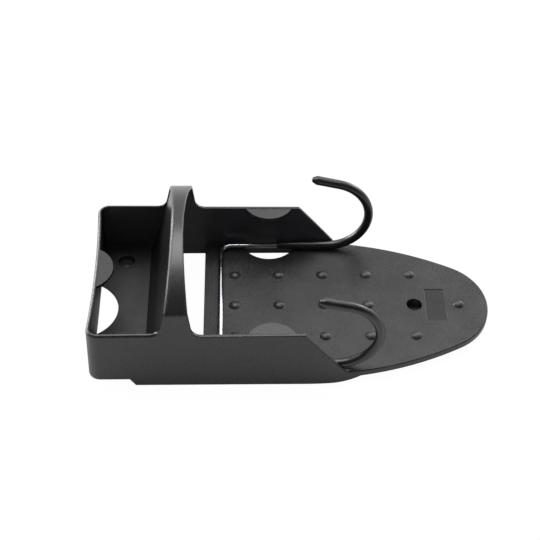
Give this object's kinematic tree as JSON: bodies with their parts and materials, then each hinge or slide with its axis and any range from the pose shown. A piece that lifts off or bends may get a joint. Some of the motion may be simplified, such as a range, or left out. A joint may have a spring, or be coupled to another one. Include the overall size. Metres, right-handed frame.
{
  "type": "ironing board holder",
  "caption": "Wall-mounted moulded holder that cradles an iron in a walled tray with an arched hood, with a sleeved wire hook frame for hanging an ironing board.",
  "frame": {"origin": "middle of the object's length and width, at the plane of the wall it is screwed to", "axes": "+X along the length toward the narrow rounded tip, +Y across the width, +Z away from the wall; it lies on its back as in the picture"},
  "size_m": [0.3087, 0.144, 0.1003],
  "materials": {
    "body_plastic": "fine-grained black moulding",
    "wire_steel": "bright chrome plate on round steel wire",
    "sleeve_pvc": "smooth glossy soft vinyl"
  },
  "bodies": {
    "root": {"holder_body": "body_plastic", "hook_wire": "wire_steel", "near_sleeve": "sleeve_pvc", "far_sleeve": "sleeve_pvc"}
  },
  "joints": []
}
